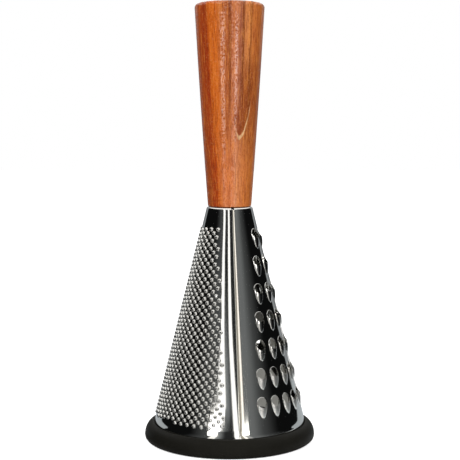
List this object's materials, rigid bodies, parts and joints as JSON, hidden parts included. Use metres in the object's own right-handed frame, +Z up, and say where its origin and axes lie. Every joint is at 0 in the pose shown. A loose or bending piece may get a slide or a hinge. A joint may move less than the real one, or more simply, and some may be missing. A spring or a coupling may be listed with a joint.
{
  "type": "cone grater",
  "caption": "Free-standing kitchen grater: a polished steel cone with fine, medium and coarse grating zones, a turned wooden handle on top and a black rubber base ring.",
  "frame": {"origin": "on the table, under the middle of the base ring", "axes": "+Z up along the axis of the cone and handle; -Y is the side that faces the camera in the picture, with the seam a little towards +X"},
  "size_m": [0.112, 0.112, 0.2837],
  "materials": {
    "black_rubber": "satin moulded rubber",
    "polished_steel": "polished stainless steel sheet",
    "zinc_steel": "zinc-plated steel",
    "acacia_wood": "oiled acacia, lengthwise grain"
  },
  "bodies": {
    "base": {"base_ring": "black_rubber"},
    "grater": {"grater_cone": "polished_steel", "top_plate": "zinc_steel", "screw_washer": "zinc_steel", "handle_screw": "zinc_steel", "handle": "acacia_wood"}
  },
  "joints": [
    {"name": "ring_pull_off", "type": "slide", "parent": "base", "child": "grater", "axis": [0, 0, 1], "range_m": [0, 0.03]}
  ]
}
